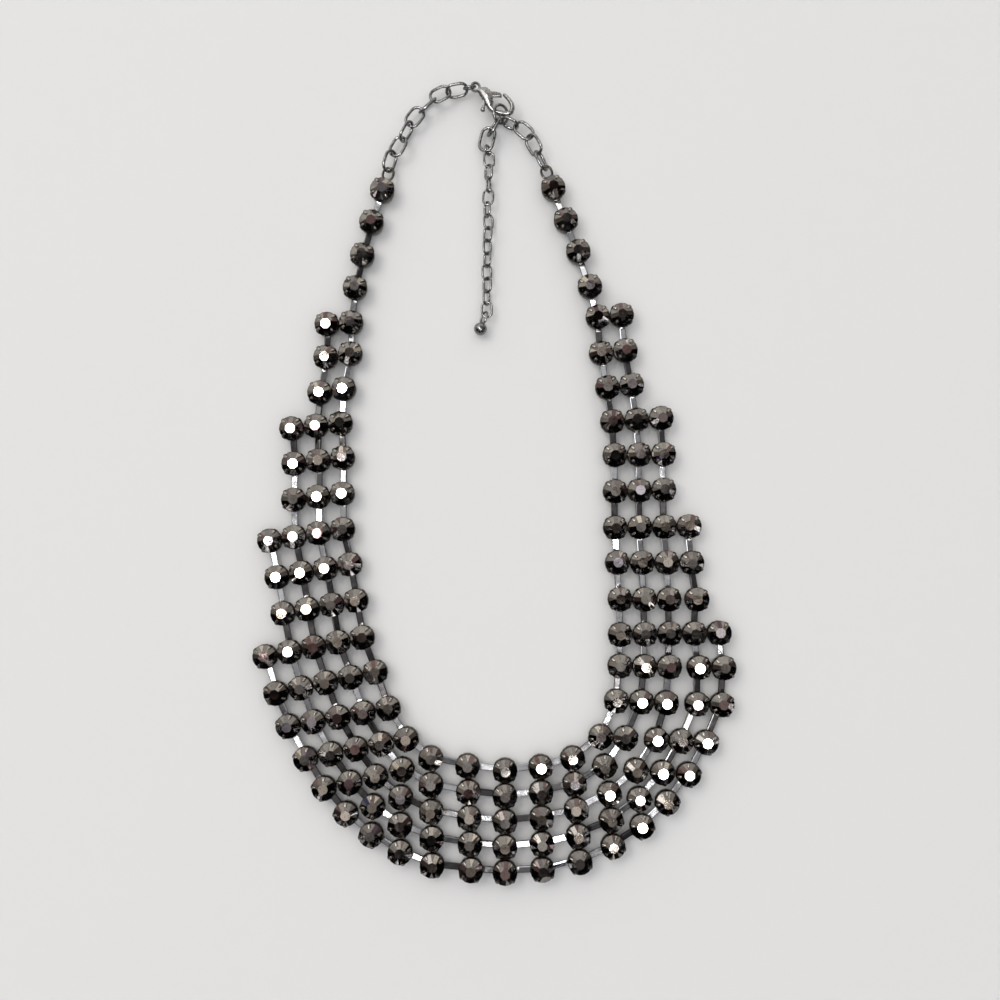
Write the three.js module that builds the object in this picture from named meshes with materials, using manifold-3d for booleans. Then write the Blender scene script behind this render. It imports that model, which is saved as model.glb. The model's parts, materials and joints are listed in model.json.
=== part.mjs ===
// A rhinestone collar necklace, lying on a flat surface with its clasp closed.
//
// Five strands of cup chain lie side by side. The inner strand runs the whole way round the
// neck, and each of the others starts a step lower, so that the collar is one stone wide at
// the ends and five wide at the front. Every cup holds one cut stone, flat bars join the cups
// along a strand, and solder joins the strands. A chain of oval links leads from each end to
// the lobster clasp and to its closing ring, and an extender with a ball hangs from that ring.
//
// Millimetres, +Z up, the wearer's neck toward +Y. The surface is z = 0.
import * as THREE from 'three';
import { mergeVertices } from 'three/addons/utils/BufferGeometryUtils.js';
import Module from 'manifold-3d';

const wasm = await Module();
wasm.setup();

// ---------------------------------------------------------------- driving dimensions

const STRANDS = 5;
const CUP = { sides: 8, footRadius: 2.95, rimRadius: 3.3, rimHeight: 3.35 };
const STONE = { tableRadius: 1.4, tableHeight: 5.0 };
const BAR = { width: 2.0, bottom: 0.7, top: 1.6 };
const STRIP_END = 2.4; // how near a cup's axis the bars and the solder reach
const SOLDER = { width: 0.9, bottom: 0.9, top: 2.0 };
const END_RING = { length: 4.1, width: 3.5, wire: 0.65, reach: 4.9, height: 1.95 };

// Wire pieces: outer length and width, wire thickness, and how many sides go round them.
const PIECES = {
  link: { length: 6.35, width: 4.65, wire: 0.65, around: 10 },
  shortLink: { length: 5.2, width: 4.4, wire: 0.65, around: 10 },
  longLink: { length: 7.2, width: 4.65, wire: 0.65, around: 10 },
  fineLink: { length: 4.6, width: 3.35, wire: 0.45, around: 10 },
  fineRing: { length: 3.1, width: 3.1, wire: 0.5, around: 10 },
  claspRing: { length: 3.7, width: 3.7, wire: 0.5, around: 10 },
  closingRing: { length: 5.6, width: 5.6, wire: 0.6, around: 14 },
};
const WIRE_SIDES = 5;

// Rows of stones, from beside the middle of the front out to the end of the collar. `heading`
// and `reach` lead from the last row's inner stone to this one's: degrees up from sideways,
// and millimetres. `row` is the way the row runs from its inner stone to its outer one, and
// `pitch` the distance between its stones. The left side is charted as its mirror image.
const ROW_COLUMNS = ['strands', 'heading', 'reach', 'row', 'pitch'];
const LEFT_ROWS = table(ROW_COLUMNS, [
  [5, 7, 10.0, -92, 6.8],
  [5, 12, 10.0, -91, 7.0],
  [5, 38, 8.2, -11, 6.8],
  [5, 59, 9.4, -10, 6.75],
  [5, 70, 10.2, -12, 6.75],
  [5, 69, 9.8, -11, 6.6],
  [4, 80, 10.0, -10, 6.6],
  [4, 80, 9.8, -10, 6.6],
  [4, 78, 9.6, -9, 6.6],
  [3, 89, 9.5, -7, 6.6],
  [3, 90, 9.7, -7, 6.6],
  [3, 86, 9.3, -6, 6.6],
  [2, 95, 9.4, -9, 6.6],
  [2, 100, 9.7, -8, 6.7],
  [2, 91, 8.5, -4, 6.55],
  [1, 96, 9.6, 0, 0],
  [1, 102, 9.2, 0, 0],
  [1, 105, 9.4, 0, 0],
  [1, 108, 9.3, 0, 0],
]);
const RIGHT_ROWS = table(ROW_COLUMNS, [
  [5, 6, 9.5, -89, 6.7],
  [5, 15, 8.8, -86, 6.8],
  [5, 37, 9.4, -3, 6.6],
  [5, 66, 10.3, -2, 6.65],
  [5, 84, 9.3, -1, 6.6],
  [5, 89, 8.3, 1, 6.6],
  [4, 90, 9.4, 0, 6.55],
  [4, 94, 9.8, 0, 6.65],
  [4, 93, 9.4, 1, 6.6],
  [3, 90, 9.7, 2, 6.55],
  [3, 90, 9.8, 1, 6.55],
  [3, 94, 9.1, 4, 6.6],
  [2, 98, 9.3, 6, 6.6],
  [2, 100, 9.5, 6, 6.6],
  [2, 95, 9.9, 4, 6.5],
  [1, 104, 8.6, 0, 0],
  [1, 108, 10.1, 0, 0],
  [1, 111, 9.3, 0, 0],
  [1, 111, 9.5, 0, 0],
]);
// Where two strands lie apart in a row: the row's place in its table, the strand before the
// gap, and how much wider than the pitch the gap is.
const PARTED = {
  left: [],
  right: [
    { row: 2, after: 2, by: 1.6 },
    { row: 3, after: 3, by: 1.5 },
    { row: 4, after: 3, by: 1.3 },
    { row: 6, after: 3, by: 0.9 },
  ],
};
const MIDDLE_ROW = { x: 2.907, y: -78.358, row: -90, pitch: 6.65 };
const FRONT_ROWS = 2; // rows of each table that belong to the front
const CORNER_BOW = 0.1; // how far a strand bows out at the corner, as a share of its chord

// Chains of wire pieces. `heading` leads from the last piece's centre to this one's, `slack`
// is how far it hangs back from taut, `roll` leans the piece about its long way, and `height`
// is its centre's height.
const CHAIN_COLUMNS = ['piece', 'heading', 'slack', 'roll', 'height'];
const LEFT_CHAIN = table(CHAIN_COLUMNS, [
  ['link', 82, 0.45, 50, 2.35],
  ['link', 62, 0.35, -14, 2.2],
  ['link', 61, 0.35, 70, 2.25],
  ['link', 61, 0.35, 0, 2.1],
  ['link', 43, 0.35, -66, 2.2],
  ['link', 42, 0.35, -6, 2.2],
  ['link', 12, 0.35, 54, 2.35],
]);
const CLASP_RING = table(CHAIN_COLUMNS, [['claspRing', 10, 0.35, -76, 2.75]]);
const RIGHT_CHAIN = table(CHAIN_COLUMNS, [
  ['link', 115, 0.35, 58, 2.05],
  ['link', 115, 0.28, -42, 2.2],
  ['link', 124, 0.25, 9, 2.15],
  ['shortLink', 152.5, 0.16, -71, 2.15],
]);
const RIGHT_END_HEADING = 159; // from the last link toward the closing ring
const EXTENDER_TOP = table(CHAIN_COLUMNS, [
  ['link', -120, 0.94, 68, 2.4],
  ['longLink', -121, 1.8, 8, 1.55],
  ['fineRing', -87, 0.9, -62, 1.75],
]);
const EXTENDER_CHAIN = table(CHAIN_COLUMNS, [
  ['fineLink', -82, 0.22, -8, 1.65],
  ['fineLink', -92, 0.22, 48, 1.65],
  ['fineLink', -90, 0.22, -72, 1.75],
  ['fineLink', -92, 0.22, 5, 1.75],
  ['fineLink', -95, 0.3, 60, 1.6],
  ['fineLink', -84, 0.3, -32, 1.65],
  ['fineLink', -93, 0.22, 42, 1.65],
  ['fineLink', -92, 0.22, -46, 1.65],
  ['fineLink', -90, 0.22, 52, 1.55],
  ['fineLink', -92, 0.22, -30, 1.55],
  ['fineLink', -88, 0.22, 42, 1.55],
  ['fineLink', -94, 0.3, -58, 1.5],
  ['fineLink', -88, 0.3, 5, 1.6],
]);
const BALL_LOOP = { length: 4.0, width: 3.3, wire: 0.5, around: 10, heading: -108, slack: 0.9, roll: 58 };
const BALL = { radius: 1.75, reach: 3.15 };

// The clasp, in its own plane: its long way is X, from the eye's centre, and Y is the side
// that opens.
const CLASP = { reach: 1.6, towards: 4, height: 2.85, heading: -43, bodyThickness: 2.4, hookThickness: 1.6 };
const EYE = { radius: 1.5, hole: 0.8, thickness: 1.2 };
const PIVOT = { x: 3.9, y: 0.3, radius: 0.35, hole: 0.6 };
const LEVER = { thickness: 1.0, nubX: 5.95, nubY: -3.35, nubRadius: 0.6, nubThickness: 1.6 };
const SLOT = { from: 2.7, to: 6.3, halfWidth: 3.2, height: 1.4 };
// The closing ring hangs on the hook's far side, tipped so that the hook passes through it.
const CLOSING_RING = { x: 10.3, y: -0.8, height: 2.85, heading: 80, roll: 40 };

const STONE_AND_CUP = material('stones_in_cups', 0x37332f, 0.12, 0.6);
const GUNMETAL = material('gunmetal', 0x55524f, 0.25, 1);
const CLASP_METAL = material('satin_gunmetal', 0x7d7a78, 0.35, 1);

// ---------------------------------------------------------------- helpers

function table(columns, rows) {
  return rows.map((row) => Object.fromEntries(columns.map((name, i) => [name, row[i]])));
}

function material(name, color, roughness, metalness) {
  return new THREE.MeshStandardMaterial({ name, color, roughness, metalness });
}

function polar(length, degrees) {
  const angle = THREE.MathUtils.degToRad(degrees);
  return new THREE.Vector2(length * Math.cos(angle), length * Math.sin(angle));
}

function toSolid(geometry) {
  const bare = new THREE.BufferGeometry();
  bare.setAttribute('position', geometry.attributes.position.clone());
  bare.setIndex(geometry.index ? geometry.index.clone() : null);
  const merged = mergeVertices(bare, 1e-4);
  return new wasm.Manifold(new wasm.Mesh({
    numProp: 3,
    vertProperties: merged.attributes.position.array,
    triVerts: new Uint32Array(merged.index.array),
  }));
}

function toGeometry(solid) {
  const mesh = solid.getMesh();
  const geometry = new THREE.BufferGeometry();
  geometry.setAttribute('position', new THREE.BufferAttribute(mesh.vertProperties, 3));
  geometry.setIndex(new THREE.BufferAttribute(mesh.triVerts, 1));
  geometry.computeVertexNormals();
  return geometry;
}

function joined(geometries) {
  return geometries.map(toSolid).reduce((whole, solid) => whole.add(solid));
}

function polygon(corners) {
  return new THREE.Shape(corners.map(([x, y]) => new THREE.Vector2(x, y)));
}

// A flat plate of the given outline, centred on z = 0.
function plate(shape, thickness, curveSegments = 6) {
  const geometry = new THREE.ExtrudeGeometry(shape, { depth: thickness, bevelEnabled: false, curveSegments });
  return geometry.translate(0, 0, -thickness / 2);
}

// A ring of round wire, drawn out to an oval whose long way is X. No vertex of the round ring
// has x = 0, so that each half moves as one.
function wireRing({ length, width, wire, around }) {
  const geometry = new THREE.TorusGeometry((width - wire) / 2, wire / 2, WIRE_SIDES, around);
  const spread = (length - width) / 2;
  const { position } = geometry.attributes;
  for (let i = 0; i < position.count; i += 1) {
    position.setX(i, position.getX(i) + Math.sign(position.getX(i)) * spread);
  }
  return geometry;
}

// ---------------------------------------------------------------- the collar

// Rows of one side, from the front outward: each stone's centre and the way its row runs.
function sideRows(side, rows, parted) {
  const inner = new THREE.Vector2(MIDDLE_ROW.x * side, MIDDLE_ROW.y);
  return rows.map((row, index) => {
    inner.add(polar(row.reach, row.heading));
    const gap = parted.find((split) => split.row === index);
    const stones = [];
    for (let strand = 0; strand < row.strands; strand += 1) {
      const extra = gap && strand >= gap.after ? gap.by : 0;
      const place = inner.clone().add(polar(strand * row.pitch + extra, row.row));
      stones.push(new THREE.Vector2(place.x * side, place.y));
    }
    return { stones, partedAfter: gap ? gap.after : 0 };
  });
}

// The stones that fill a strand's corner, between its last front stone and its first side one.
function cornerStones(side, strand, from, to) {
  const chord = to.clone().sub(from);
  const outward = new THREE.Vector2(chord.y, -chord.x).multiplyScalar(side * CORNER_BOW);
  return Array.from({ length: strand }, (_, i) => {
    const share = (i + 1) / (strand + 1);
    return from.clone().addScaledVector(chord, share).addScaledVector(outward, 4 * share * (1 - share));
  });
}

// One strand's stones on one side, from the front outward.
function sideStrand(side, strand, rows) {
  const own = rows.filter((row) => row.stones.length > strand).map((row) => row.stones[strand]);
  const front = own.slice(0, FRONT_ROWS);
  const rest = own.slice(FRONT_ROWS);
  const corner = cornerStones(side, strand, front.at(-1), rest[0]);
  return [...front, ...corner, ...rest];
}

function middleRow() {
  const stones = Array.from({ length: STRANDS }, (_, strand) =>
    polar(strand * MIDDLE_ROW.pitch, MIDDLE_ROW.row).add(new THREE.Vector2(MIDDLE_ROW.x, MIDDLE_ROW.y)));
  return { stones, partedAfter: 0 };
}

// A cup with its stone: wall, crown of eight facets and table, on the axis of z.
function cupWithStone() {
  const profile = [
    [0, 0], [CUP.footRadius, 0], [CUP.rimRadius, CUP.rimHeight],
    [STONE.tableRadius, STONE.tableHeight], [0, STONE.tableHeight],
  ].map(([r, z]) => new THREE.Vector2(r, z));
  return new THREE.LatheGeometry(profile, CUP.sides).rotateX(Math.PI / 2)
    .rotateZ(Math.PI / CUP.sides);
}

// A flat strip between two cups, with its ends inside their walls.
function strip(from, to, { width, bottom, top }) {
  const way = to.clone().sub(from);
  const length = way.length() - 2 * STRIP_END;
  const middle = from.clone().add(to).multiplyScalar(0.5);
  return new THREE.BoxGeometry(length, width, top - bottom)
    .rotateZ(way.angle())
    .translate(middle.x, middle.y, (bottom + top) / 2);
}

// The small ring soldered to the last cup of a side, and the way it points from that cup.
function endRing(strand) {
  const [before, last] = strand.slice(-2);
  const way = last.clone().sub(before).normalize();
  const centre = last.clone().addScaledVector(way, END_RING.reach);
  const geometry = wireRing({ ...END_RING, around: 10 })
    .rotateZ(way.angle()).translate(centre.x, centre.y, END_RING.height);
  return { centre, geometry };
}

// Each strand is soldered to the one inside it at its first cup and at every second cup below.
function solderJoints(rows) {
  const joints = [];
  for (let strand = 1; strand < STRANDS; strand += 1) {
    rows.filter((row) => row.stones.length > strand).forEach((row, i) => {
      if (i % 2 === 0 && row.partedAfter !== strand) {
        joints.push(strip(row.stones[strand - 1], row.stones[strand], SOLDER));
      }
    });
  }
  return joints;
}

function collar() {
  const left = sideRows(-1, LEFT_ROWS, PARTED.left);
  const right = sideRows(1, RIGHT_ROWS, PARTED.right);
  const middle = middleRow();
  const pieces = [];
  let ends = null;
  for (let strand = 0; strand < STRANDS; strand += 1) {
    const leftHalf = sideStrand(-1, strand, left);
    const rightHalf = sideStrand(1, strand, right);
    const places = [...leftHalf.toReversed(), middle.stones[strand], ...rightHalf];
    places.forEach((place, i) => {
      const before = places[Math.max(i - 1, 0)];
      const after = places[Math.min(i + 1, places.length - 1)];
      const along = after.clone().sub(before).angle();
      pieces.push(cupWithStone().rotateZ(along).translate(place.x, place.y, 0));
    });
    for (let i = 1; i < places.length; i += 1) {
      pieces.push(strip(places[i - 1], places[i], BAR));
    }
    ends ??= { left: endRing(leftHalf), right: endRing(rightHalf) };
  }
  for (const rows of [[middle], left.toReversed(), right.toReversed()]) {
    pieces.push(...solderJoints(rows));
  }
  pieces.push(ends.left.geometry, ends.right.geometry);
  return { solid: joined(pieces), ends };
}

// ---------------------------------------------------------------- chains

// Turns a mesh to its heading in the plane, after leaning it about its own long way.
function lay(mesh, place, height, heading, roll) {
  mesh.position.set(place.x, place.y, height);
  mesh.rotation.set(THREE.MathUtils.degToRad(roll), 0, THREE.MathUtils.degToRad(heading), 'ZYX');
  return mesh;
}

// The pieces of a chain, each hooked into the one before. A piece's long way halves the turn
// between the two headings at it.
function chain(name, start, startPiece, rows, endHeading) {
  const place = start.clone();
  let last = startPiece;
  return rows.map((row, i) => {
    const piece = PIECES[row.piece];
    const reach = (last.length + piece.length) / 2 - last.wire - piece.wire - row.slack;
    place.add(polar(reach, row.heading));
    last = piece;
    const next = i + 1 < rows.length ? rows[i + 1].heading : endHeading ?? row.heading;
    const mesh = new THREE.Mesh(wireRing(piece), GUNMETAL);
    mesh.name = `${name}_${i + 1}`;
    return lay(mesh, place, row.height, (row.heading + next) / 2, row.roll);
  });
}

function placeOf(mesh) {
  return new THREE.Vector2(mesh.position.x, mesh.position.y);
}

function extenderBall(start, startPiece) {
  const { length, width, wire, around, heading, slack, roll } = BALL_LOOP;
  const reach = (startPiece.length + length) / 2 - startPiece.wire - wire - slack;
  const loop = wireRing({ length, width, wire, around }).rotateX(THREE.MathUtils.degToRad(roll));
  const ball = new THREE.SphereGeometry(BALL.radius, 12, 8).rotateX(Math.PI / 2).translate(BALL.reach, 0, 0);
  const mesh = new THREE.Mesh(toGeometry(joined([loop, ball])), GUNMETAL);
  mesh.name = 'extender_ball';
  return lay(mesh, start.clone().add(polar(reach, heading)), BALL.radius, heading, 0);
}

// ---------------------------------------------------------------- the clasp

// The body and its hook, one open outline from the neck round the gate's gap and back.
function hookShape() {
  const shape = new THREE.Shape();
  const through = (corners) => shape.splineThru(corners.map(([x, y]) => new THREE.Vector2(x, y)));
  shape.moveTo(1.1, 1.0);
  through([[2.6, 2.2], [4.0, 2.3]]);
  shape.lineTo(5.4, 1.1);
  through([[6.2, -0.2], [7.2, -1.0], [8.3, -0.65], [9.6, 0.0], [10.8, 1.0], [10.6, 2.2], [9.7, 2.85],
    [7.75, 2.95]]);
  shape.lineTo(6.5, 3.95);
  through([[8.4, 4.4], [10.6, 3.8], [12.2, 2.7], [12.9, 1.3], [12.4, 0.0], [10.6, -1.1], [8.4, -2.2],
    [7.0, -2.4], [5.2, -1.8], [1.8, -0.7]]);
  return shape;
}

function claspBody() {
  const body = polygon([[1.6, 1.4], [2.6, 2.1], [3.9, 2.2], [5.3, 1.1], [6.2, -0.3], [7.3, -1.15], [7.3, -2.25],
    [5.2, -1.7], [1.9, -0.6]]);
  const rod = (radius, length, sides) =>
    new THREE.CylinderGeometry(radius, radius, length, sides).rotateX(Math.PI / 2);
  const slot = new THREE.BoxGeometry(SLOT.to - SLOT.from, 2 * SLOT.halfWidth, SLOT.height)
    .translate((SLOT.from + SLOT.to) / 2, 0, 0);
  const pin = rod(PIVOT.radius, CLASP.bodyThickness, 8).translate(PIVOT.x, PIVOT.y, 0);
  return joined([
    plate(hookShape(), CLASP.hookThickness, 2),
    plate(body, CLASP.bodyThickness),
    rod(EYE.radius, EYE.thickness, 12),
  ]).subtract(toSolid(rod(EYE.hole, CLASP.bodyThickness, 10)))
    .subtract(toSolid(slot))
    .add(toSolid(pin));
}

// The gate that closes the hook and the tail that opens it, round one pivot.
function claspLever() {
  const arms = polygon([[4.2, 2.2], [6.35, 3.65], [7.55, 2.75], [5.35, 0.75], [4.75, -0.35], [6.1, -2.9],
    [5.2, -3.3], [3.35, -0.45], [3.0, 0.5], [3.5, 1.6]]);
  const nub = new THREE.CylinderGeometry(LEVER.nubRadius, LEVER.nubRadius, LEVER.nubThickness, 10)
    .rotateX(Math.PI / 2).translate(LEVER.nubX, LEVER.nubY, 0);
  const hole = new THREE.CylinderGeometry(PIVOT.hole, PIVOT.hole, CLASP.bodyThickness, 12)
    .rotateX(Math.PI / 2).translate(PIVOT.x, PIVOT.y, 0);
  return joined([plate(arms, LEVER.thickness), nub]).subtract(toSolid(hole));
}

function clasp(ringPlace) {
  const eye = ringPlace.clone().add(polar(CLASP.reach, CLASP.towards));
  const group = new THREE.Group();
  const body = new THREE.Mesh(toGeometry(claspBody()), CLASP_METAL);
  body.name = 'clasp_body';
  const lever = new THREE.Mesh(toGeometry(claspLever()), CLASP_METAL);
  lever.name = 'clasp_lever';
  const ring = new THREE.Mesh(wireRing(PIECES.closingRing), GUNMETAL);
  ring.name = 'closing_ring';
  group.add(body, lever);
  lay(group, eye, CLASP.height, CLASP.heading, 0);
  const turned = new THREE.Vector2(CLOSING_RING.x, CLOSING_RING.y)
    .rotateAround(new THREE.Vector2(), THREE.MathUtils.degToRad(CLASP.heading));
  lay(ring, turned.add(eye), CLOSING_RING.height, CLOSING_RING.heading, CLOSING_RING.roll);
  return { group, ring };
}

// ---------------------------------------------------------------- the necklace

function necklace() {
  const { solid, ends } = collar();
  const field = new THREE.Mesh(toGeometry(solid), STONE_AND_CUP);
  field.name = 'rhinestone_collar';
  const leftLinks = chain('left_link', ends.left.centre, END_RING, LEFT_CHAIN, CLASP_RING[0].heading);
  const claspRing = chain('clasp_ring', placeOf(leftLinks.at(-1)), PIECES.link, CLASP_RING);
  const rightLinks = chain('right_link', ends.right.centre, END_RING, RIGHT_CHAIN, RIGHT_END_HEADING);
  const { group, ring } = clasp(placeOf(claspRing[0]));
  const fineHeading = EXTENDER_CHAIN[0].heading;
  const top = chain('extender_top', placeOf(ring), PIECES.closingRing, EXTENDER_TOP, fineHeading);
  const fine = chain('extender_link', placeOf(top.at(-1)), PIECES.fineRing, EXTENDER_CHAIN);
  const ball = extenderBall(placeOf(fine.at(-1)), PIECES.fineLink);
  const chains = [...leftLinks, ...claspRing, ...rightLinks, ...top, ...fine];
  return new THREE.Group().add(field, ...chains, group, ring, ball);
}

export default necklace();
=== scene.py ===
"""Looks for a rhinestone collar necklace that lies flat with its clasp closed.

The CAD solids are the fixed frame. Each is replaced by a piece with the real one's surface:
cut stones held by claws in cups, flat bars, smooth wire links, a cast lobster clasp and a ball.
"""
import json
import math
import random
from collections import namedtuple

import bmesh
import bpy
import numpy as np
from mathutils import Matrix, Vector


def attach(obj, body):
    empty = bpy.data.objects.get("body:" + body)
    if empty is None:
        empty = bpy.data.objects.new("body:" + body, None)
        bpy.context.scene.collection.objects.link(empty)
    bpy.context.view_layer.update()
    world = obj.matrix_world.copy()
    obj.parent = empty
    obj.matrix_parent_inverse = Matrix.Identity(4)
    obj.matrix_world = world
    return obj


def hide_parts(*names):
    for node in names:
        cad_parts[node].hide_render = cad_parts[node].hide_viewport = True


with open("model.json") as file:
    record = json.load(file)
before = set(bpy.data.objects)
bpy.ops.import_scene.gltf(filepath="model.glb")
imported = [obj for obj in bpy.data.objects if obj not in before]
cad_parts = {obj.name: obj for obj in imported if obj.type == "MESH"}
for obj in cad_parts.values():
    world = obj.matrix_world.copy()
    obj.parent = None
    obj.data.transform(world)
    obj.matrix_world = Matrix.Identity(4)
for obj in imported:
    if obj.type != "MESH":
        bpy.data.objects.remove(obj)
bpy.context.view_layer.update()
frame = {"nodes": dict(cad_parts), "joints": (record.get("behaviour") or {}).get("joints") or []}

MM = 0.001

# ------------------------------------------------------------------ sizes, in millimetres

STRANDS = 5

# a stone: octagonal table, sixteen facets down to the girdle, and the girdle's narrow band
TABLE_RADIUS, TABLE_HEIGHT = 1.35, 4.93
GIRDLE_RADIUS, GIRDLE_TOP, GIRDLE_BOTTOM = 3.13, 3.66, 3.3
TABLE_SIDES, GIRDLE_SIDES = 8, 16
# facets nearer to one plane than this, in degrees, are one
SAME_PLANE = 0.6

# a cup's outline from the middle of its foot to the middle of its seat: radius and height
CUP_OUTLINE = [(0, 0), (2.75, 0), (3.08, 0.3), (3.3, 1.6), (3.3, 3.42), (3.08, 3.54), (0, 3.54)]
CUP_SIDES = 16

# a claw from its root on the cup's wall to its tip on the stone: radius, height, half its
# thickness and half its width
CLAW_STATIONS = [(3.28, 1.9, 0.12, 0.6), (3.36, 3.0, 0.17, 0.56), (3.3, 3.6, 0.2, 0.48),
                 (2.98, 3.97, 0.2, 0.42), (2.52, 4.27, 0.19, 0.36), (2.16, 4.48, 0.12, 0.24)]
CLAW_SIDES = 7
CLAWS = 4

# how far hand setting leaves things uneven, in degrees: a stone leans about a point above the
# cup's foot, and claws and bars are turned
STONE_LEAN, LEAN_HEIGHT = 1.6, 1.5
CLAW_TURN = 3.0
SETTING_SEED = 38
BAR_ROLL, BAR_PITCH = 7.0, 5.0

# a flat strip between two cups, along a strand or across it, ends this far from their centres
Strip = namedtuple("Strip", "width bottom top rounding")
BAR = Strip(1.75, 0.7, 1.6, 0.25)
SOLDER = Strip(1.6, 0.8, 1.8, 0.15)
STRIP_END = 2.4

# the ring at each end of the inner strand, and its centre's reach from the last cup's
END_RING = dict(length=4.1, width=3.5, wire=0.68)
END_RING_REACH, END_RING_HEIGHT = 4.9, 1.95

# what a drawn wire's round section adds to the CAD's five-sided one, across it and along the link
WIRE_EXTRA, LINK_EXTRA = 0.2, 0.14
# a ring whose length and width differ by less than this is round
ROUND_WITHIN = 0.35
# the share of a round ring's radius that is drawn out into a link's two straight sides
STRAIGHT_SHARE = 0.35

# the ball and its reach from its loop's centre, with the heading and the roll in degrees
BALL_RADIUS = 1.75
BALL_REACH = 3.15
BALL_HEADING = -108
BALL_LOOP = dict(length=4.0, width=3.3, wire=0.56)
BALL_LOOP_ROLL = 58
# the bead of solder between them: X, Y, half its width and half its height
NECK_STATIONS = [(1.2, 0, 0.3, 0.3), (1.35, 0, 0.55, 0.55), (1.6, 0, 0.62, 0.62), (1.9, 0, 0.5, 0.5)]
NECK_SIDES = 14

# the clasp in its own plane: X from the eye's centre, Y toward the side that opens
CLASP_HEADING = -43
PIVOT = Vector((3.9, 0.3, 0))
EYE = dict(length=3.0, width=3.0, wire=0.7)
# the eye is cast this many times as high as its wire is thick
EYE_STRETCH = 1.6
SLOT_FROM, SLOT_TO, SLOT_WIDTH, SLOT_HEIGHT = 2.7, 6.3, 8.0, 1.4
PIN_RADIUS, PIN_TOP, PIN_SIDES = 0.34, 1.24, 16
# the pin's hammered ends: the share of its radius that stays flat, and the edge's height
PIN_FLAT, PIN_EDGE = 0.7, 0.06

# the casting from its neck round the hook to its tip: X, Y, half its width and half its height
CASTING_STATIONS = [
    (0.95, 0.0, 0.6, 0.5), (1.6, 0.2, 1.0, 0.85), (2.4, 0.45, 1.5, 1.08),
    (3.3, 0.5, 1.85, 1.18), (4.2, 0.25, 1.88, 1.2), (5.1, -0.3, 1.6, 1.14),
    (5.9, -0.85, 1.25, 1.02), (6.6, -1.3, 0.95, 0.92), (7.4, -1.55, 0.76, 0.86),
    (8.5, -1.4, 0.74, 0.82), (9.7, -0.85, 0.74, 0.8), (10.8, -0.15, 0.74, 0.8),
    (11.6, 0.65, 0.74, 0.8), (11.9, 1.6, 0.72, 0.8), (11.45, 2.6, 0.66, 0.8),
    (10.5, 3.3, 0.6, 0.78), (9.3, 3.65, 0.54, 0.74), (8.0, 3.76, 0.5, 0.7),
    (7.2, 3.72, 0.42, 0.6), (6.93, 3.68, 0.22, 0.36)]
CASTING_SIDES = 14

# the lever from above, clockwise: its gate, the front of its hub, its tail and the hub's back
LEVER_OUTLINE = [(4.15, 2.0), (5.0, 2.75), (6.2, 3.38), (6.72, 3.32), (7.25, 2.8), (6.4, 2.15),
                 (5.35, 1.1), (4.95, 0.4), (4.75, -0.35), (5.3, -1.6), (6.1, -2.9), (5.2, -3.3),
                 (4.1, -1.4), (3.35, -0.45), (3.0, 0.5), (3.4, 1.4)]
LEVER_THICKNESS, LEVER_ROUNDING = 1.0, 0.16
NUB_PLACE, NUB_RADIUS, NUB_HALF_HEIGHT = (5.75, -3.25), 0.66, 0.78
LEVER_HOLE = 0.6

# edges that turn more than this, in degrees, stay sharp
COLLAR_CREASE, CLASP_CREASE = 62, 45
# points nearer than this are one
WELD = 1e-4

# ------------------------------------------------------------------ where the stones stand

# a row of stones across the strands: how many it has, the heading and reach to its innermost
# stone from the row before it, and the heading and pitch of the stones along it
Row = namedtuple("Row", "strands heading reach along pitch")
# the row with this number is parted after so many strands, by so much
Parted = namedtuple("Parted", "row after by")
LEFT_ROWS = [Row(*r) for r in (
    (5, 7, 10.0, -92, 6.8), (5, 12, 10.0, -91, 7.0), (5, 38, 8.2, -11, 6.8),
    (5, 59, 9.4, -10, 6.75), (5, 70, 10.2, -12, 6.75), (5, 69, 9.8, -11, 6.6),
    (4, 80, 10.0, -10, 6.6), (4, 80, 9.8, -10, 6.6), (4, 78, 9.6, -9, 6.6),
    (3, 89, 9.5, -7, 6.6), (3, 90, 9.7, -7, 6.6), (3, 86, 9.3, -6, 6.6),
    (2, 95, 9.4, -9, 6.6), (2, 100, 9.7, -8, 6.7), (2, 91, 8.5, -4, 6.55),
    (1, 96, 9.6, 0, 0), (1, 102, 9.2, 0, 0), (1, 105, 9.4, 0, 0), (1, 108, 9.3, 0, 0),
)]
RIGHT_ROWS = [Row(*r) for r in (
    (5, 6, 9.5, -89, 6.7), (5, 15, 8.8, -86, 6.8), (5, 37, 9.4, -3, 6.6),
    (5, 66, 10.3, -2, 6.65), (5, 84, 9.3, -1, 6.6), (5, 89, 8.3, 1, 6.6),
    (4, 90, 9.4, 0, 6.55), (4, 94, 9.8, 0, 6.65), (4, 93, 9.4, 1, 6.6),
    (3, 90, 9.7, 2, 6.55), (3, 90, 9.8, 1, 6.55), (3, 94, 9.1, 4, 6.6),
    (2, 98, 9.3, 6, 6.6), (2, 100, 9.5, 6, 6.6), (2, 95, 9.9, 4, 6.5),
    (1, 104, 8.6, 0, 0), (1, 108, 10.1, 0, 0), (1, 111, 9.3, 0, 0), (1, 111, 9.5, 0, 0),
)]
RIGHT_PARTED = [Parted(2, 2, 1.6), Parted(3, 3, 1.5), Parted(4, 3, 1.3), Parted(6, 3, 0.9)]
# the row in the middle of the front
MIDDLE = dict(x=2.907, y=-78.358, along=-90, pitch=6.65)
# past this many rows comes a corner, where the outer strands have more stones, on a bow
# whose height is this share of the gap
FRONT_ROWS = 2
CORNER_BOW = 0.1


def polar(length, degrees):
    """The way of that length and heading, in the plane that the necklace lies in."""
    angle = math.radians(degrees)
    return Vector((length * math.cos(angle), length * math.sin(angle)))


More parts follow.
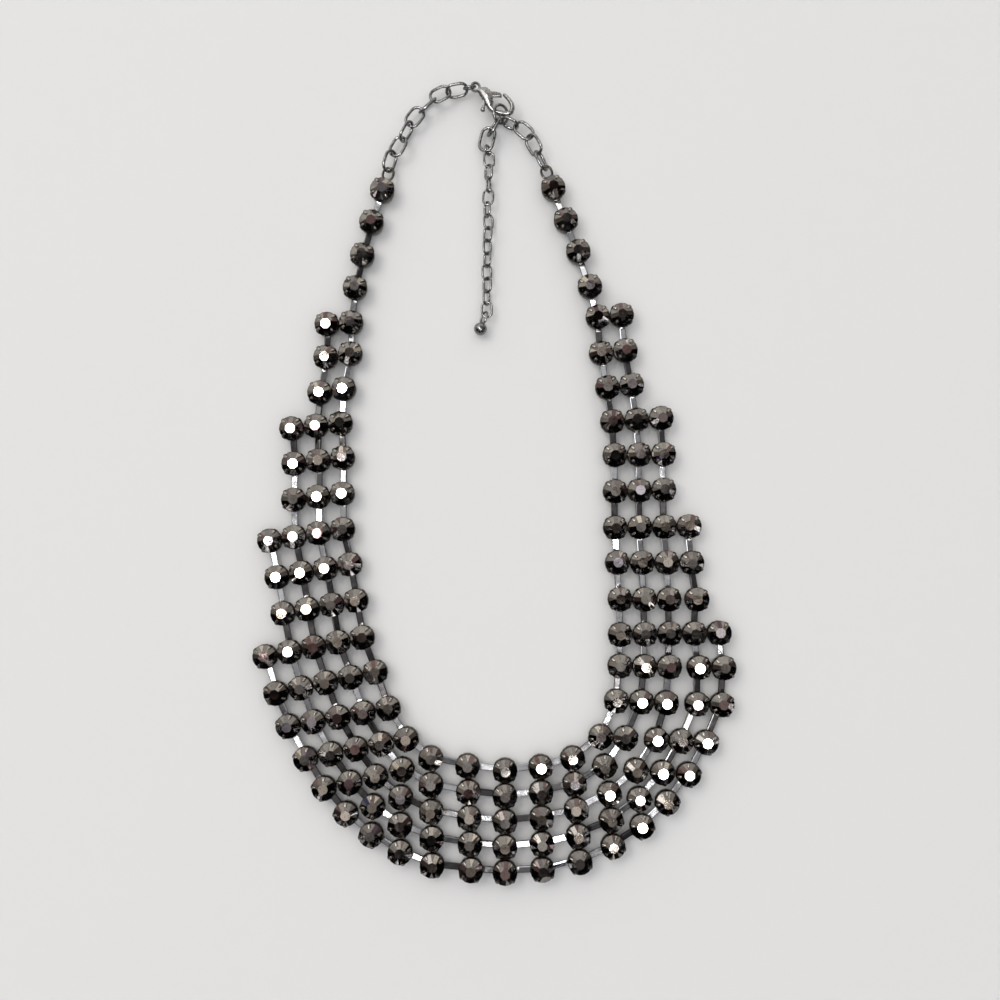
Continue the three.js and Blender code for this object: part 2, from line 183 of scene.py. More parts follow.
def side_rows(side, rows, parted):
    """One side's rows from the front outward: the stones' centres, and the strand before a gap."""
    inner = Vector((MIDDLE["x"] * side, MIDDLE["y"]))
    result = []
    for index, row in enumerate(rows):
        inner = inner + polar(row.reach, row.heading)
        gap = next((p for p in parted if p.row == index), None)
        stones = []
        for strand in range(row.strands):
            extra = gap.by if gap and strand >= gap.after else 0
            place = inner + polar(strand * row.pitch + extra, row.along)
            stones.append(Vector((place.x * side, place.y)))
        result.append((stones, gap.after if gap else 0))
    return result


def side_strand(side, strand, rows):
    """One strand's stones on one side, with the ones that fill its corner."""
    own = [stones[strand] for stones, _ in rows if len(stones) > strand]
    front, rest = own[:FRONT_ROWS], own[FRONT_ROWS:]
    chord = rest[0] - front[-1]
    outward = Vector((chord.y, -chord.x)) * (side * CORNER_BOW)
    corner = []
    for i in range(strand):
        share = (i + 1) / (strand + 1)
        corner.append(front[-1] + chord * share + outward * (4 * share * (1 - share)))
    return front + corner + rest


def layout():
    """Five strands from end to end, and the pairs of neighbours that solder joins."""
    left = side_rows(-1, LEFT_ROWS, [])
    right = side_rows(1, RIGHT_ROWS, RIGHT_PARTED)
    middle = [Vector((MIDDLE["x"], MIDDLE["y"])) + polar(s * MIDDLE["pitch"], MIDDLE["along"])
              for s in range(STRANDS)]
    strands = []
    for s in range(STRANDS):
        strands.append(side_strand(-1, s, left)[::-1] + [middle[s]] + side_strand(1, s, right))
    pairs = []
    for rows in ([(middle, 0)], left[::-1], right[::-1]):
        for s in range(1, STRANDS):
            reached = [(stones, gap) for stones, gap in rows if len(stones) > s]
            pairs += [(stones[s - 1], stones[s]) for stones, gap in reached[::2] if gap != s]
    return strands, pairs


# ------------------------------------------------------------------ materials

def linear(hex_colour):
    """An sRGB hex colour as linear RGBA."""
    channels = [int(hex_colour[i:i + 2], 16) / 255 for i in (1, 3, 5)]
    return [c / 12.92 if c <= 0.04045 else ((c + 0.055) / 1.055) ** 2.4 for c in channels] + [1.0]


def feed(tree, node, **inputs):
    """Sets a node's inputs by name, each to a value or linked from another node's output."""
    for name, value in inputs.items():
        socket = node.inputs[name.replace("_", " ")]
        if isinstance(value, bpy.types.NodeSocket):
            tree.links.new(value, socket)
        else:
            socket.default_value = value


def add(tree, kind, settings=None, stops=None, **inputs):
    """Adds a node with its settings, its colour stops (place, hex colour) and its inputs."""
    node = tree.nodes.new("ShaderNode" + kind)
    for name, value in (settings or {}).items():
        setattr(node, name, value)
    if stops:
        elements = node.color_ramp.elements
        while len(elements) < len(stops):
            elements.new(0.5)
        for element, (place, colour) in zip(elements, stops):
            element.position = place
            element.color = linear(colour)
    feed(tree, node, **inputs)
    return node


def new_material(name):
    """A new material, its node tree and its shader."""
    material = bpy.data.materials.new(name)
    material.use_nodes = True
    tree = material.node_tree
    return material, tree, tree.nodes["Principled BSDF"]


COAT_COLOURS = [(0.0, "#34374c"), (0.16, "#66514f"), (0.34, "#757270"), (0.6, "#8f8b86"),
                (0.82, "#c2b7ab"), (1.0, "#cbc6d2")]
FOIL_COLOURS = [(0.3, "#7f8cab"), (0.42, "#ffffff"), (0.64, "#ffffff"), (0.74, "#b98c72")]
# the foil's share of the glass's colour, its flecks' width, and the ripples' width and depth
FOIL_SHARE = 0.55
FLECK_MM = 0.5
RIPPLE_MM, RIPPLE_DEPTH_MM = 1.3, 0.009
GLASS_ROUGHNESS = 0.05
BUMP_STRENGTH = 0.5
# where on the coat's colours a stone's table and its other facets lie
TABLE_SHADES = (0.12, 1.0)
CROWN_SHADE, CROWN_SPREAD = 0.42, 0.14
# a plate's roughness varies by this share of it, over most of the noise's range
ROUGHNESS_SPREAD = 0.25
NOISE_LOW, NOISE_HIGH = 0.3, 0.7


def hematite_glass():
    """Pressed glass with a hematite coat, fired on: it mirrors like dark polished metal."""
    material, tree, shader = new_material("hematite_coated_glass")
    place = add(tree, "TexCoord").outputs["Object"]
    # the coat's thickness varies from facet to facet, which turns the grey brown, beige or navy
    shade = add(tree, "Attribute", {"attribute_name": "tone"}).outputs["Fac"]
    coat = add(tree, "ValToRGB", stops=COAT_COLOURS, Fac=shade).outputs["Color"]
    # the foil behind shows through in flecks of blue and amber, about 0.5 mm across
    fleck = add(tree, "TexNoise", Vector=place, Scale=1 / (FLECK_MM * MM), Detail=1.0).outputs["Fac"]
    foil = add(tree, "ValToRGB", stops=FOIL_COLOURS, Fac=fleck).outputs["Color"]
    mixed = add(tree, "MixRGB", {"blend_type": "MULTIPLY"}, Fac=FOIL_SHARE, Color1=coat,
                Color2=foil)
    # pressed facets aren't quite flat: ripples 1.3 mm across draw their reflections into streaks
    ripple = add(tree, "TexNoise", Vector=place, Scale=1 / (RIPPLE_MM * MM), Detail=2.0).outputs["Fac"]
    bump = add(tree, "Bump", Height=ripple, Strength=BUMP_STRENGTH, Distance=RIPPLE_DEPTH_MM * MM)
    feed(tree, shader, Base_Color=mixed.outputs["Color"], Metallic=1.0, Roughness=GLASS_ROUGHNESS,
         Normal=bump.outputs["Normal"])
    return material


def black_nickel(name, colours, roughness, grain_mm, grain_depth_mm, by_piece=False):
    """Black-nickel plate: grey metal whose colour runs between two with the plate's thickness.

    The thickness varies in patches as wide as the grain or, by piece, from one bar to the next.
    """
    material, tree, shader = new_material(name)
    place = add(tree, "TexCoord").outputs["Object"]
    noise = add(tree, "TexNoise", Vector=place, Scale=1 / (grain_mm * MM), Detail=3.0)
    grain = noise.outputs["Fac"]
    tone = add(tree, "Attribute", {"attribute_name": "tone"}).outputs["Fac"] if by_piece else grain
    dark, pale = colours
    colour = add(tree, "ValToRGB", stops=[(0.35, dark), (0.65, pale)], Fac=tone).outputs["Color"]
    rough = add(tree, "MapRange", Value=grain, From_Min=NOISE_LOW, From_Max=NOISE_HIGH,
                To_Min=roughness * (1 - ROUGHNESS_SPREAD), To_Max=roughness * (1 + ROUGHNESS_SPREAD))
    bump = add(tree, "Bump", Height=grain, Strength=BUMP_STRENGTH, Distance=grain_depth_mm * MM)
    feed(tree, shader, Base_Color=colour, Metallic=1.0, Roughness=rough.outputs["Result"],
         Normal=bump.outputs["Normal"])
    return material


GLASS = hematite_glass()
# bright-dipped before plating, so cups and claws are dark and glossy
CUP_PLATE = black_nickel("black_nickel_on_cups", ("#3d3a37", "#57524c"), 0.2, 0.7, 0.01)
# painted highlight: the claws' upward faces get this paler plate, which stands for the light they
# catch; the claws are plated like the cups
CLAW_HIGHLIGHT_PLATE = black_nickel("black_nickel_with_painted_highlight_on_claw_tops", ("#8c8884", "#aaa6a1"), 0.16, 0.5, 0.01)
# rolled flat strip, glossy, from charcoal on one bar to pale steel on the next
BAR_PLATE = black_nickel("black_nickel_on_bars", ("#565557", "#b8bac0"), 0.13, 1.6, 0.012,
                         by_piece=True)
# tumbled wire: satin, even and mid grey
WIRE_PLATE = black_nickel("black_nickel_on_wire", ("#6b6b6c", "#8a8a8b"), 0.25, 0.6, 0.007)
# a tumbled casting, satin all over
CAST_PLATE = black_nickel("satin_black_nickel_casting", ("#868586", "#a3a2a3"), 0.28, 0.45, 0.006)
COLLAR_MATERIALS = [GLASS, CUP_PLATE, BAR_PLATE, CLAW_HIGHLIGHT_PLATE]
GLASS_SLOT, CUP_SLOT, BAR_SLOT, CLAW_HIGHLIGHT_SLOT = range(4)
# a claw's faces whose normal's Z is above this are its top, which takes the paler plate as a painted
# highlight
CLAW_TOP_FACES = 0.66


# ------------------------------------------------------------------ mesh helpers

def rotation(degrees, axis):
    """The turn by so many degrees about X, Y or Z."""
    return Matrix.Rotation(math.radians(degrees), 4, axis)


def facing(way):
    """The turn about Z that brings X to that way."""
    return Matrix.Rotation(math.atan2(way.y, way.x), 4, "Z")


def edges_within(verts):
    """The edges that have both ends among the points."""
    return list({edge for vert in verts for edge in vert.link_edges
                 if edge.verts[0] in verts and edge.verts[1] in verts})


def as_mesh(bm, name):
    """The bmesh becomes a mesh, and is freed."""
    mesh = bpy.data.meshes.new(name)
    bm.to_mesh(mesh)
    bm.free()
    return mesh


def finish_mesh(bm, name, materials):
    """The bmesh becomes an object at the origin, in metres."""
    bmesh.ops.scale(bm, vec=(MM, MM, MM), verts=bm.verts)
    mesh = as_mesh(bm, name)
    for material in materials:
        mesh.materials.append(material)
    obj = bpy.data.objects.new(name, mesh)
    bpy.context.collection.objects.link(obj)
    return obj


def shape(build, *sizes, **named_sizes):
    """A mesh that build makes at the origin, with its faces outward, kept to be stamped."""
    bm = bmesh.new()
    build(bm, *sizes, **named_sizes)
    bmesh.ops.recalc_face_normals(bm, faces=bm.faces)
    return as_mesh(bm, build.__name__)


def stamp(bm, mesh, matrix, slot=0, smooth=True):
    """Adds a turned and moved copy of the mesh, and returns its new faces."""
    vert_count, face_count = len(bm.verts), len(bm.faces)
    bm.from_mesh(mesh)
    bm.verts.ensure_lookup_table()
    bm.faces.ensure_lookup_table()
    bmesh.ops.transform(bm, matrix=matrix, verts=bm.verts[vert_count:])
    faces = bm.faces[face_count:]
    for face in faces:
        face.material_index = slot
        face.smooth = smooth
    return faces


def solid(name, material, mesh, matrix):
    """One stamped mesh as an object of its own, smooth and of one material."""
    bm = bmesh.new()
    stamp(bm, mesh, matrix)
    return finish_mesh(bm, name, [material])


def combine(base, operation, *others):
    """Fuses the others to the base, or cuts them out of it, as closed bodies."""
    for other in others:
        modifier = base.modifiers.new(operation, "BOOLEAN")
        modifier.operation = operation
        modifier.solver = "MANIFOLD"
        modifier.object = other
        bpy.context.view_layer.objects.active = base
        bpy.ops.object.modifier_apply(modifier=modifier.name)
        bpy.data.objects.remove(other)
    return base


def crease(piece, degrees):
    """Marks the edges that turn more than this as sharp, and leaves the flat facets flat."""
    bm = bmesh.new()
    bm.from_mesh(piece.data)
    for edge in bm.edges:
        edge.smooth = edge.calc_face_angle(math.pi) < math.radians(degrees)
    bm.to_mesh(piece.data)
    bm.free()


def revolve(bm, verts, edges, steps):
    """Spins a section once round the Z axis and closes its poles."""
    bmesh.ops.spin(bm, geom=verts + edges, angle=math.tau, steps=steps, axis=(0, 0, 1),
                   cent=(0, 0, 0), use_merge=True, use_duplicate=False)
    bmesh.ops.remove_doubles(bm, verts=bm.verts, dist=WELD)


def lathe(bm, outline, sides):
    """A closed turned solid from (radius, height) points that start and end on the axis."""
    verts = [bm.verts.new((radius, 0, height)) for radius, height in outline]
    edges = [bm.edges.new(pair) for pair in zip(verts, verts[1:])]
    revolve(bm, verts, edges, sides)


def swept(bm, stations, sides):
    """A rod through (x, y, half its width, half its height) stations, closed at both ends."""
    centres = [Vector(station[:2]) for station in stations]
    ring = bmesh.ops.create_circle(bm, cap_ends=False, segments=sides, radius=1.0)["verts"]
    first = ring
    last_place = Matrix.Identity(4)
    for i, (x, y, half_width, half_height) in enumerate(stations):
        way = centres[min(i + 1, len(centres) - 1)] - centres[max(i - 1, 0)]
        # the circle's own plane stands across the way, with its X in the path's plane
        place = Matrix.Translation((x, y, 0)) @ facing(way) @ rotation(90, "X") \
            @ rotation(90, "Y") @ Matrix.Diagonal((half_width, half_height, 1, 1))
        if i:
            made = bmesh.ops.extrude_edge_only(bm, edges=edges_within(ring))["geom"]
            ring = [item for item in made if isinstance(item, bmesh.types.BMVert)]
        bmesh.ops.transform(bm, matrix=place @ last_place.inverted(), verts=ring)
        last_place = place
    for end in (first, ring):
        bmesh.ops.contextual_create(bm, geom=edges_within(end))


def wire_oval(bm, length, width, wire, sides=10, around=40):
    """A closed ring of round wire, drawn out along X where it is longer than wide."""
    radius = (width - wire) / 2
    place = Matrix.Translation((0, -radius, 0)) @ rotation(90, "Y")
    section = bmesh.ops.create_circle(bm, cap_ends=False, segments=sides, radius=wire / 2,
                                      matrix=place)["verts"]
    revolve(bm, section, edges_within(section), around)
    for vert in bm.verts:
        toward_end = max(-1.0, min(1.0, vert.co.x / (STRAIGHT_SHARE * radius)))
        vert.co.x += (length - width) / 2 * math.sin(toward_end * math.pi / 2)


def bevelled_box(bm, length, strip):
    """A strip of that length along X on its own middle, its long edges rounded."""
    size = Matrix.Diagonal((length, strip.width, strip.top - strip.bottom, 1))
    verts = bmesh.ops.create_cube(bm, size=1.0, matrix=size)["verts"]
    long_edges = {edge for vert in verts for edge in vert.link_edges
                  if abs(edge.verts[0].co.x - edge.verts[1].co.x) > length / 2}
    bmesh.ops.bevel(bm, geom=list(long_edges), offset=strip.rounding, segments=2, profile=0.5,
                    affect="EDGES", material=-1)


# ------------------------------------------------------------------ the collar

def cut_stone(bm):
    """The crown of a cut stone: its hull runs from an octagonal table to a round girdle."""
    half_side = 180 / GIRDLE_SIDES
    for sides, radius, height, turn in ((TABLE_SIDES, TABLE_RADIUS, TABLE_HEIGHT, 2 * half_side),
                                        (GIRDLE_SIDES, GIRDLE_RADIUS, GIRDLE_TOP, half_side),
                                        (GIRDLE_SIDES, GIRDLE_RADIUS, GIRDLE_BOTTOM, half_side)):
        place = Matrix.Translation((0, 0, height)) @ rotation(turn, "Z")
        bmesh.ops.create_circle(bm, cap_ends=False, segments=sides, radius=radius, matrix=place)
    bmesh.ops.convex_hull(bm, input=bm.verts)
    bmesh.ops.dissolve_limit(bm, angle_limit=math.radians(SAME_PLANE), verts=bm.verts,
                             edges=bm.edges)


def cup(bm):
    """A pressed cup, filled where the stone sits."""
    lathe(bm, CUP_OUTLINE, CUP_SIDES)


def claw(bm):
    """A narrow tongue of the cup that folds over the stone's edge, standing out along X."""
    swept(bm, CLAW_STATIONS, CLAW_SIDES)
    bmesh.ops.rotate(bm, verts=bm.verts, cent=(0, 0, 0), matrix=Matrix.Rotation(math.pi / 2, 3, "X"))


def place_strip(bm, mesh, start, end, strip, slot, tilt=(0.0, 0.0)):
    """Stamps a strip of unit length between two cups, with its ends inside them."""
    way = end - start
    middle = (start + end) / 2
    roll, pitch = tilt
    matrix = Matrix.Translation((middle.x, middle.y, (strip.bottom + strip.top) / 2)) \
        @ facing(way) @ rotation(roll, "X") @ rotation(pitch, "Y") \
        @ Matrix.Diagonal((way.length - 2 * STRIP_END, 1, 1, 1))
    return stamp(bm, mesh, matrix, slot, False)


def place_stone(layers, shapes, stand, rng):
    """One stone in its cup, leaning and turned a little differently from its neighbours."""
    stamp(layers["cups"], shapes["cup"], stand, CUP_SLOT)
    seat = Matrix.Translation((0, 0, LEAN_HEIGHT))
    lean = rotation(rng.gauss(0, STONE_LEAN), "X") @ rotation(rng.gauss(0, STONE_LEAN), "Y")
    turn = rotation(rng.uniform(0, 360), "Z")
    place = stand @ seat @ lean @ turn @ seat.inverted()
    faces = stamp(layers["stones"], shapes["stone"], place, GLASS_SLOT, False)
    tone = layers["stones"].faces.layers.float["tone"]
    for face in faces:
        is_table = len(face.verts) == TABLE_SIDES
        face[tone] = rng.uniform(*TABLE_SHADES) if is_table else rng.gauss(CROWN_SHADE, CROWN_SPREAD)
    for i in range(CLAWS):
        claw_turn = rotation(360 / CLAWS * (i + 0.5) + rng.gauss(0, CLAW_TURN), "Z")
        for face in stamp(layers["claws"], shapes["claw"], stand @ claw_turn, CUP_SLOT):
            face.normal_update()
            if face.normal.z > CLAW_TOP_FACES:
                # painted highlight: the claw's upward faces take the paler plate
                face.material_index = CLAW_HIGHLIGHT_SLOT


def place_bar(bars, mesh, start, end, rng):
    """One bar, a little rolled and pitched, with a tone of its own."""
    tilt = (rng.gauss(0, BAR_ROLL), rng.gauss(0, BAR_PITCH))
    faces = place_strip(bars, mesh, start, end, BAR, BAR_SLOT, tilt)
    tone = rng.random()
    for face in faces:
        face[bars.faces.layers.float["tone"]] = tone


def place_end_ring(rings, mesh, last, before):
    """The ring soldered to a strand's last cup, pointing on along the strand."""
    way = (last - before).normalized()
    centre = last + way * END_RING_REACH
    matrix = Matrix.Translation((centre.x, centre.y, END_RING_HEIGHT)) @ facing(way)
    stamp(rings, mesh, matrix, CUP_SLOT)


def build_collar():
    """The soldered collar: a layer for each kind of piece, and then all fused into one body."""
    rng = random.Random(SETTING_SEED)
    strands, pairs = layout()
    layers = {name: bmesh.new() for name in ("cups", "stones", "claws", "bars", "solder", "rings")}
    # a tone from 0 to 1 on each facet and each bar, which the coat or the plate makes a colour
    for name in ("stones", "bars"):
        layers[name].faces.layers.float.new("tone")
    shapes = {"cup": shape(cup), "stone": shape(cut_stone), "claw": shape(claw),
              "bar": shape(bevelled_box, 1.0, BAR), "solder": shape(bevelled_box, 1.0, SOLDER),
              "ring": shape(wire_oval, **END_RING)}
    for strand in strands:
        for i, place in enumerate(strand):
            along = strand[min(i + 1, len(strand) - 1)] - strand[max(i - 1, 0)]
            stand = Matrix.Translation((place.x, place.y, 0)) @ facing(along)
            place_stone(layers, shapes, stand, rng)
        for start, end in zip(strand, strand[1:]):
            place_bar(layers["bars"], shapes["bar"], start, end, rng)
    for start, end in pairs:
        place_strip(layers["solder"], shapes["solder"], start, end, SOLDER, CUP_SLOT)
    inner = strands[0]
    for last, before in ((inner[0], inner[1]), (inner[-1], inner[-2])):
        place_end_ring(layers["rings"], shapes["ring"], last, before)
    bodies = [finish_mesh(bm, name, COLLAR_MATERIALS) for name, bm in layers.items()]
    collar = combine(bodies[0], "UNION", *bodies[1:])
    collar.name = collar.data.name = "collar_of_stones"
    crease(collar, COLLAR_CREASE)
    return collar


# ------------------------------------------------------------------ links and rings

def ring_axes(name):
    """A ring's own frame, read from its CAD solid, and its length, width and wire's thickness."""
    points = np.array([vert.co for vert in frame["nodes"][name].data.vertices]) / MM
    centre = points.mean(0)
    _, vectors = np.linalg.eigh(np.cov((points - centre).T))
    _, wide, long = vectors.T
    across = np.cross(long, wide)
    spans = [np.ptp((points - centre) @ axis) for axis in (long, wide, across)]
    matrix = Matrix.Identity(4)
    for column, axis in enumerate((long, wide, across)):
        for row in range(3):
            matrix[row][column] = axis[row]
    return Matrix.Translation(centre) @ matrix, spans


def build_link(name):
    """A link or ring of round wire, on its CAD solid's own axes."""
    matrix, (length, width, wire) = ring_axes(name)
    if length - width < ROUND_WITHIN:
        length = width = max(length, width)
    mesh = shape(wire_oval, length + LINK_EXTRA, width + LINK_EXTRA, wire + WIRE_EXTRA)
    return solid("wire_" + name, WIRE_PLATE, mesh, matrix)


# ------------------------------------------------------------------ the ball at the extender's end

def round_ball(bm):
    """The ball, on X from the loop's centre."""
    bmesh.ops.create_uvsphere(bm, u_segments=28, v_segments=16, radius=BALL_RADIUS,
                              matrix=Matrix.Translation((BALL_REACH, 0, 0)))


def ball_neck(bm):
    """The bead of solder that joins the ball to its loop."""
    swept(bm, NECK_STATIONS, NECK_SIDES)


def build_ball():
    """The ball hangs from its loop where the CAD solid's far end and sides put it."""
    along = polar(1.0, BALL_HEADING).to_3d()
    across = Vector((-along.y, along.x, 0))
    points = [vert.co / MM for vert in frame["nodes"]["extender_ball"].data.vertices]
    reach = max(point.dot(along) for point in points) - BALL_RADIUS - BALL_REACH
    sideways = [point.dot(across) for point in points]
    start = along * reach + across * (min(sideways) + max(sideways)) / 2
    matrix = Matrix.Translation((start.x, start.y, BALL_RADIUS)) @ rotation(BALL_HEADING, "Z")
    ball = solid("ball_on_its_loop", WIRE_PLATE, shape(round_ball), matrix)
    neck = solid("neck", WIRE_PLATE, shape(ball_neck), matrix)
    rolled = matrix @ rotation(BALL_LOOP_ROLL, "X")
    loop = solid("loop", WIRE_PLATE, shape(wire_oval, **BALL_LOOP), rolled)
    return combine(ball, "UNION", neck, loop)


# ------------------------------------------------------------------ the clasp

def clasp_matrix():
    """The clasp's own plane, placed by its hinge."""
    pivot = Vector(frame["joints"][0]["pos_m"]) / MM
    return Matrix.Translation(pivot) @ rotation(CLASP_HEADING, "Z") @ Matrix.Translation(-PIVOT)


def casting(bm):
    """The clasp's body and hook as one tapering rod, bent round."""
    swept(bm, CASTING_STATIONS, CASTING_SIDES)


def eye(bm):
    """The round eye that the clasp's ring goes through."""
    wire_oval(bm, **EYE)
    bmesh.ops.scale(bm, vec=(1, 1, EYE_STRETCH), verts=bm.verts)


def lever_slot(bm):
    """The room that the lever moves in, right across the body."""
    middle = Matrix.Translation(((SLOT_FROM + SLOT_TO) / 2, 0, 0))
    size = Matrix.Diagonal((SLOT_TO - SLOT_FROM, SLOT_WIDTH, SLOT_HEIGHT, 1))
    bmesh.ops.create_cube(bm, size=1.0, matrix=middle @ size)


def pin(bm, radius, top):
    """A round pin through the pivot, its ends' edges taken off."""
    upper = [(radius, top - PIN_EDGE), (radius * PIN_FLAT, top), (0, top)]
    lower = [(r, -height) for r, height in reversed(upper)]
    lathe(bm, lower + upper, PIN_SIDES)
    bmesh.ops.translate(bm, vec=PIVOT, verts=bm.verts)


def build_clasp_body():
    """The casting with its eye, the lever's slot cut through it and the pin across the slot."""
    matrix = clasp_matrix()
    body = solid("cast_clasp", CAST_PLATE, shape(casting), matrix)
    combine(body, "UNION", solid("eye", CAST_PLATE, shape(eye), matrix))
    combine(body, "DIFFERENCE", solid("slot", CAST_PLATE, shape(lever_slot), matrix))
    combine(body, "UNION", solid("pin", CAST_PLATE, shape(pin, PIN_RADIUS, PIN_TOP), matrix))
    crease(body, CLASP_CREASE)
    return body


def lever_arms(bm):
    """A stamped lever: its gate reaches the hook's tip, and its tail stands out of the body."""
    face = bm.faces.new([bm.verts.new((x, y, -LEVER_THICKNESS / 2)) for x, y in LEVER_OUTLINE])
    made = bmesh.ops.extrude_face_region(bm, geom=[face])["geom"]
    risen = [item for item in made if isinstance(item, bmesh.types.BMVert)]
    bmesh.ops.translate(bm, vec=(0, 0, LEVER_THICKNESS), verts=risen)
    rims = [edge for edge in bm.edges
            if abs(edge.verts[0].co.z - edge.verts[1].co.z) < LEVER_THICKNESS / 2]
    bmesh.ops.bevel(bm, geom=rims, offset=LEVER_ROUNDING, segments=2, profile=0.5,
                    affect="EDGES", material=-1)


def lever_nub(bm):
    """The thumb's button at the tail's end."""
    bmesh.ops.create_uvsphere(bm, u_segments=16, v_segments=10, radius=NUB_RADIUS)
    bmesh.ops.scale(bm, vec=(1, 1, NUB_HALF_HEIGHT / NUB_RADIUS), verts=bm.verts)
    bmesh.ops.translate(bm, vec=(*NUB_PLACE, 0), verts=bm.verts)


def build_clasp_lever():
    """The lever with its button, and a hole that clears the pin."""
    matrix = clasp_matrix()
    lever = solid("sprung_lever", CAST_PLATE, shape(lever_arms), matrix)
    combine(lever, "UNION", solid("nub", CAST_PLATE, shape(lever_nub), matrix))
    combine(lever, "DIFFERENCE", solid("hole", CAST_PLATE, shape(pin, LEVER_HOLE, PIN_TOP), matrix))
    crease(lever, CLASP_CREASE)
    return lever


# ------------------------------------------------------------------ each piece takes its solid's place

def ride(piece, node, body="necklace"):
    """The piece stands for the CAD node, on its body."""
    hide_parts(node)
    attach(piece, body)


# what the names of the links and rings have in them
WIRE_NODES = ("_link_", "ring", "extender_top")

ride(build_collar(), "rhinestone_collar")
for node in sorted(frame["nodes"]):
    if any(part in node for part in WIRE_NODES):
        ride(build_link(node), node)
ride(build_ball(), "extender_ball")
ride(build_clasp_body(), "clasp_body")
ride(build_clasp_lever(), "clasp_lever", body="lever")

# ------------------------------------------------------------------ floor, light and camera

FLOOR_COLOUR = "#e9e9e8"
# the floor's half width, and its gap below the cups, in millimetres
FLOOR_REACH, FLOOR_DROP = 4000, 0.2

bm = bmesh.new()
bmesh.ops.create_grid(bm, x_segments=1, y_segments=1, size=FLOOR_REACH,
                      matrix=Matrix.Translation((0, 0, -FLOOR_DROP)))
material, tree, shader = new_material("matt_pale_floor")
feed(tree, shader, Base_Color=linear(FLOOR_COLOUR), Roughness=0.9, Specular_IOR_Level=0.1)
finish_mesh(bm, "floor", [material])


def area_light(name, place, size, radiance, colour, diffuse=True, mirrored=True):
    """A rectangular light that faces the necklace, seen by matt surfaces, by mirrors or by both.

    Its place and size are in metres, and its colour and radiance are what a mirror shows of it.
    """
    light = bpy.data.lights.new(name, "AREA")
    light.shape = "RECTANGLE"
    light.size, light.size_y = size
    light.energy = radiance * size[0] * size[1] * math.pi
    light.color = linear(colour)[:3]
    obj = bpy.data.objects.new(name, light)
    bpy.context.collection.objects.link(obj)
    obj.location = place
    obj.rotation_euler = (-Vector(place)).to_track_quat("-Z", "Y").to_euler()
    obj.visible_diffuse = diffuse
    obj.visible_glossy = mirrored


area_light("window", place=(-1.15, 0.85, 1.75), size=(1.5, 1.1), radiance=2.6, colour="#fffdfa")
area_light("soft_overhead", place=(0, 0, 1.6), size=(7.0, 7.0), radiance=0.42, colour="#f6f8ff",
           mirrored=False)
# two small lamps that only the tables and bars turned toward them mirror
area_light("lamp_left", place=(-0.37, 0.07, 1.5), size=(0.4, 0.22), radiance=48.0,
           colour="#fffdf8", diffuse=False)
area_light("lamp_right", place=(0.28, -0.4, 1.5), size=(0.38, 0.15), radiance=48.0,
           colour="#fffdf8", diffuse=False)

# the room that the stones mirror: its walls by how far a direction points to the bright one,
# which begins at WALL_FROM, and its ceiling above the height CEILING_FROM
WALL_TURN = 12
WALL_COLOURS = [(0.58, "#5a524c"), (0.7, "#b2aca3"), (0.8, "#ebe8e2"), (1.0, "#f2efe8")]
WALL_STRENGTH = 1.3
WALL_FROM, WALL_TO = 0.12, 0.18
DARK_SIDE = (0.003, 0.003, 0.004, 1.0)
CEILING_COLOURS = [(0.4, "#1c191b"), (0.49, "#8b8682"), (0.63, "#f4f1ee")]
CEILING_FROM, CEILING_TO = 0.55, 0.85
MOTTLE_SCALE = 16.0
# glints are where a fine noise is at its highest
GLINT = (7.0, 7.0, 7.3, 1.0)
GLINT_SCALE = 60.0
GLINT_FROM, GLINT_TO = 0.76, 0.78
BACKDROP_COLOUR = "#d6d6d5"

world = bpy.data.worlds.new("room")
bpy.context.scene.world = world
world.use_nodes = True
tree = world.node_tree
direction = add(tree, "TexCoord").outputs["Generated"]
turned = add(tree, "VectorRotate", {"rotation_type": "Z_AXIS"}, Vector=direction,
             Angle=math.radians(-WALL_TURN)).outputs["Vector"]
split = add(tree, "SeparateXYZ", Vector=turned)
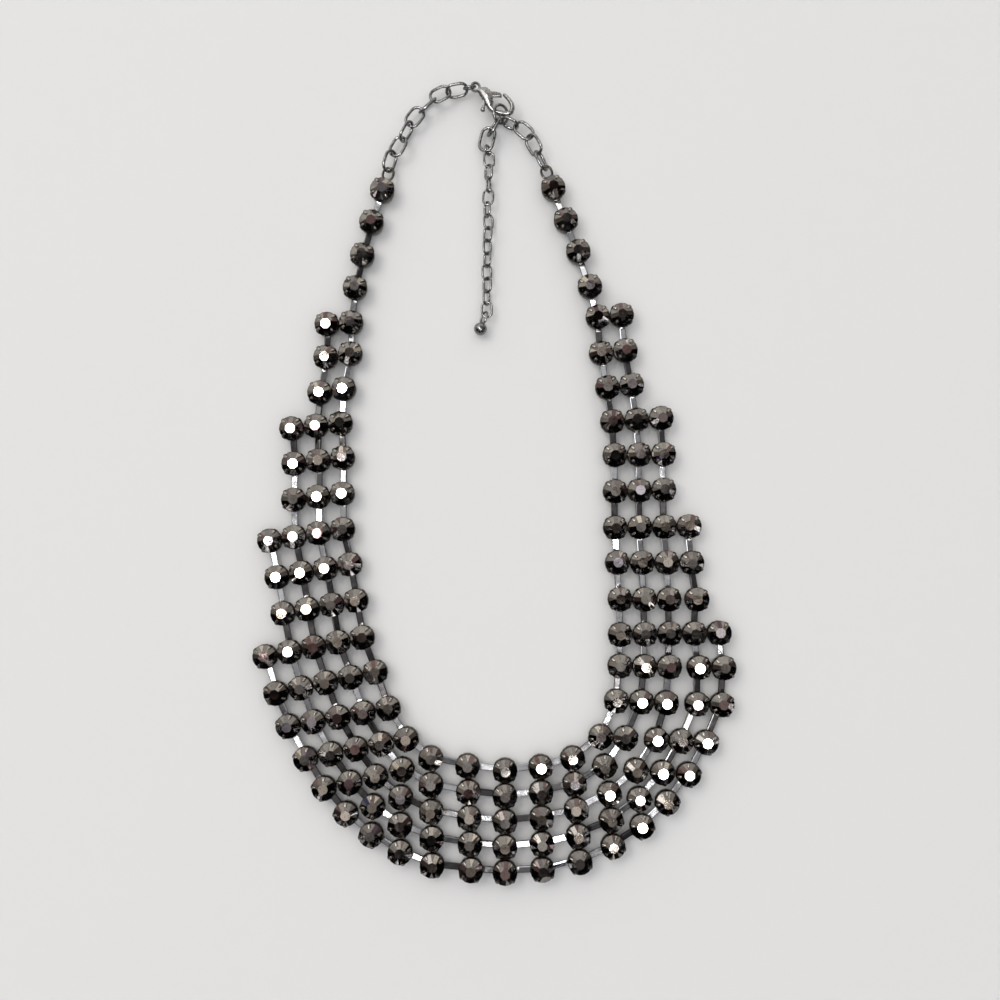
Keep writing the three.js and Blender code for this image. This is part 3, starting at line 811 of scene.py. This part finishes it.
# low down, the room is a pale wall beyond the clasp, and brown and then dark away from it
toward_wall = add(tree, "MapRange", Value=split.outputs["Y"], From_Min=-1.0, From_Max=1.0)
paint = add(tree, "ValToRGB", Fac=toward_wall.outputs["Result"], stops=WALL_COLOURS)
wall = add(tree, "VectorMath", {"operation": "SCALE"}, Scale=WALL_STRENGTH,
           Vector=paint.outputs["Color"])
# small lights across the dark side, which the lower facets show as glints
lights = add(tree, "TexNoise", Vector=direction, Scale=GLINT_SCALE, Detail=0.0)
glints = add(tree, "MapRange", Value=lights.outputs["Fac"], From_Min=GLINT_FROM, From_Max=GLINT_TO)
dark = add(tree, "MixRGB", Fac=glints.outputs["Result"], Color1=DARK_SIDE, Color2=GLINT)
on_wall = add(tree, "MapRange", Value=split.outputs["Y"], From_Min=WALL_FROM, From_Max=WALL_TO)
sides = add(tree, "MixRGB", Fac=on_wall.outputs["Result"], Color1=dark.outputs["Color"],
            Color2=wall.outputs["Vector"])
# overhead, a mottled ceiling
mottle = add(tree, "TexNoise", Vector=direction, Scale=MOTTLE_SCALE, Detail=1.0)
ceiling = add(tree, "ValToRGB", Fac=mottle.outputs["Fac"], stops=CEILING_COLOURS)
height = add(tree, "MapRange", {"interpolation_type": "SMOOTHSTEP"}, Value=split.outputs["Z"],
             From_Min=CEILING_FROM, From_Max=CEILING_TO)
room = add(tree, "MixRGB", Fac=height.outputs["Result"], Color1=sides.outputs["Color"],
           Color2=ceiling.outputs["Color"])
# behind the necklace stands a plain backdrop as pale as the floor
seen = add(tree, "LightPath").outputs["Is Camera Ray"]
shown = add(tree, "MixRGB", Fac=seen, Color1=room.outputs["Color"], Color2=linear(BACKDROP_COLOUR))
feed(tree, tree.nodes["Background"], Color=shown.outputs["Color"], Strength=1.0)

# the camera looks down on the lying necklace, almost straight: millimetres and degrees
LENS, SENSOR = 36.37, 36.0
CAMERA_PLACE, CAMERA_TILT = Vector((1.6, -18.9, 273.7)), 2.62

camera = bpy.data.objects.new("camera", bpy.data.cameras.new("camera"))
bpy.context.collection.objects.link(camera)
camera.data.lens = LENS
camera.data.sensor_width = SENSOR
camera.location = CAMERA_PLACE * MM
camera.rotation_euler = (math.radians(CAMERA_TILT), 0, 0)
bpy.context.scene.camera = camera
bpy.context.scene.view_settings.view_transform = "Standard"
